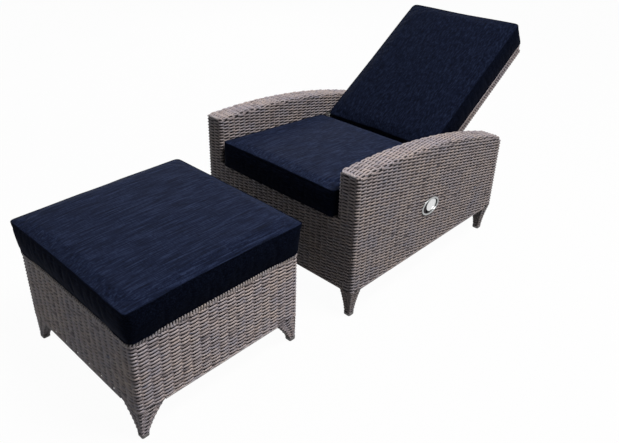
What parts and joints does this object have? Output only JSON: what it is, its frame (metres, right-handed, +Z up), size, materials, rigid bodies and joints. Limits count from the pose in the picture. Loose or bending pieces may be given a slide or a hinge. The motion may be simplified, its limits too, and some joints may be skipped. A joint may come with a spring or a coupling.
{
  "type": "sun lounger",
  "caption": "Woven wicker recliner armchair with loose cushions, arched arms, a side release paddle, and a matching square footstool.",
  "frame": {"origin": "on the floor under the middle of the whole set, chair and footstool", "axes": "+Z up, +Y from the footstool towards the backrest, +X the sitter's left"},
  "size_m": [0.745, 1.9824, 0.8036],
  "materials": {
    "wicker": "matt, woven",
    "cushion_fabric": "dark navy heathered cloth",
    "frame_aluminium": "powder coated",
    "foot_plastic": "matt",
    "handle_metal": "satin",
    "cup_plastic": "matt",
    "cable_sheath": "satin",
    "bearing_plastic": "satin",
    "black_steel": "gloss",
    "steel": "zinc plated"
  },
  "bodies": {
    "chair": {"left_arm_frame": "frame_aluminium", "right_arm_frame": "frame_aluminium", "leg_cores": "frame_aluminium", "cross_rails": "frame_aluminium", "seat_slats": "frame_aluminium", "left_arm_outer_weave": "wicker", "left_arm_inner_weave": "wicker", "left_arm_top_weave": "wicker", "left_arm_end_weaves": "wicker", "right_arm_outer_weave": "wicker", "right_arm_inner_weave": "wicker", "right_arm_top_weave": "wicker", "right_arm_end_weaves": "wicker", "front_skirt_weave": "wicker", "rear_skirt_weave": "wicker", "leg_wraps": "wicker", "foot_caps": "foot_plastic", "seat_cushion": "cushion_fabric", "hinge_bolts": "steel", "hinge_sleeves": "steel", "hinge_nuts": "steel", "gas_bracket": "steel", "head_pin": "steel", "release_bezel": "handle_metal", "release_cup": "cup_plastic", "paddle_pin": "steel", "cup_ferrule": "steel", "cable_conduit": "cable_sheath", "cable_clips": "bearing_plastic"},
    "backrest": {"back_side_tubes": "frame_aluminium", "back_cross_tubes": "frame_aluminium", "back_front_weave": "wicker", "back_rear_weave": "wicker", "back_edge_weave": "wicker", "back_cushion": "cushion_fabric", "hinge_plates": "steel", "hinge_bushes": "bearing_plastic", "gas_lever": "steel"},
    "gas_spring_head": {"gas_head": "steel", "gas_rod": "steel", "gas_piston": "steel", "lever_pin": "steel", "head_ferrule": "steel"},
    "gas_spring_cylinder": {"gas_cylinder": "black_steel", "gas_guide": "bearing_plastic", "gas_eye": "steel", "tail_pin": "steel"},
    "release_lever": {"release_lever": "steel", "lever_nipple": "steel"},
    "release_paddle": {"release_paddle": "handle_metal", "paddle_nipple": "steel"},
    "footstool": {"stool_frame": "frame_aluminium", "stool_slats": "frame_aluminium", "stool_front_weave": "wicker", "stool_rear_weave": "wicker", "stool_left_weave": "wicker", "stool_right_weave": "wicker", "stool_leg_wraps": "wicker", "stool_foot_caps": "foot_plastic", "stool_cushion": "cushion_fabric"}
  },
  "joints": [
    {"name": "back_recline", "type": "hinge", "parent": "chair", "child": "backrest", "pos_m": [0, 0.41183, 0.415], "axis": [1, 0, 0], "range_deg": [0, 40]},
    {"name": "gas_tilt", "type": "hinge", "parent": "chair", "child": "gas_spring_head", "pos_m": [0, 0.06199, 0.2712], "axis": [1, 0, 0], "range_deg": [-0.31, 0]},
    {"name": "gas_stroke", "type": "slide", "parent": "gas_spring_head", "child": "gas_spring_cylinder", "axis": [0, 0.9962, 0.0872], "range_m": [0, 0.0825]},
    {"name": "release_pull", "type": "hinge", "parent": "chair", "child": "release_paddle", "pos_m": [0.361, 0.28083, 0.291], "axis": [0, 0, 1], "range_deg": [0, 22], "stiffness_Nm_per_rad": 0.3},
    {"name": "valve_press", "type": "hinge", "parent": "gas_spring_head", "child": "release_lever", "pos_m": [-0.008, 0.08589, 0.27329], "axis": [0, -0.0872, 0.9962], "range_deg": [0, 7.9]},
    {"name": "footstool_place", "type": "slide", "parent": "chair", "child": "footstool", "axis": [0, 1, 0], "range_m": [-0.4, 0.165]}
  ],
  "couplings": [
    {"joint": "gas_tilt", "follows": "back_recline", "ratio": -0.0075},
    {"joint": "gas_stroke", "follows": "back_recline", "m_per_rad": 0.1179},
    {"joint": "valve_press", "follows": "release_pull", "ratio": 0.3557}
  ]
}
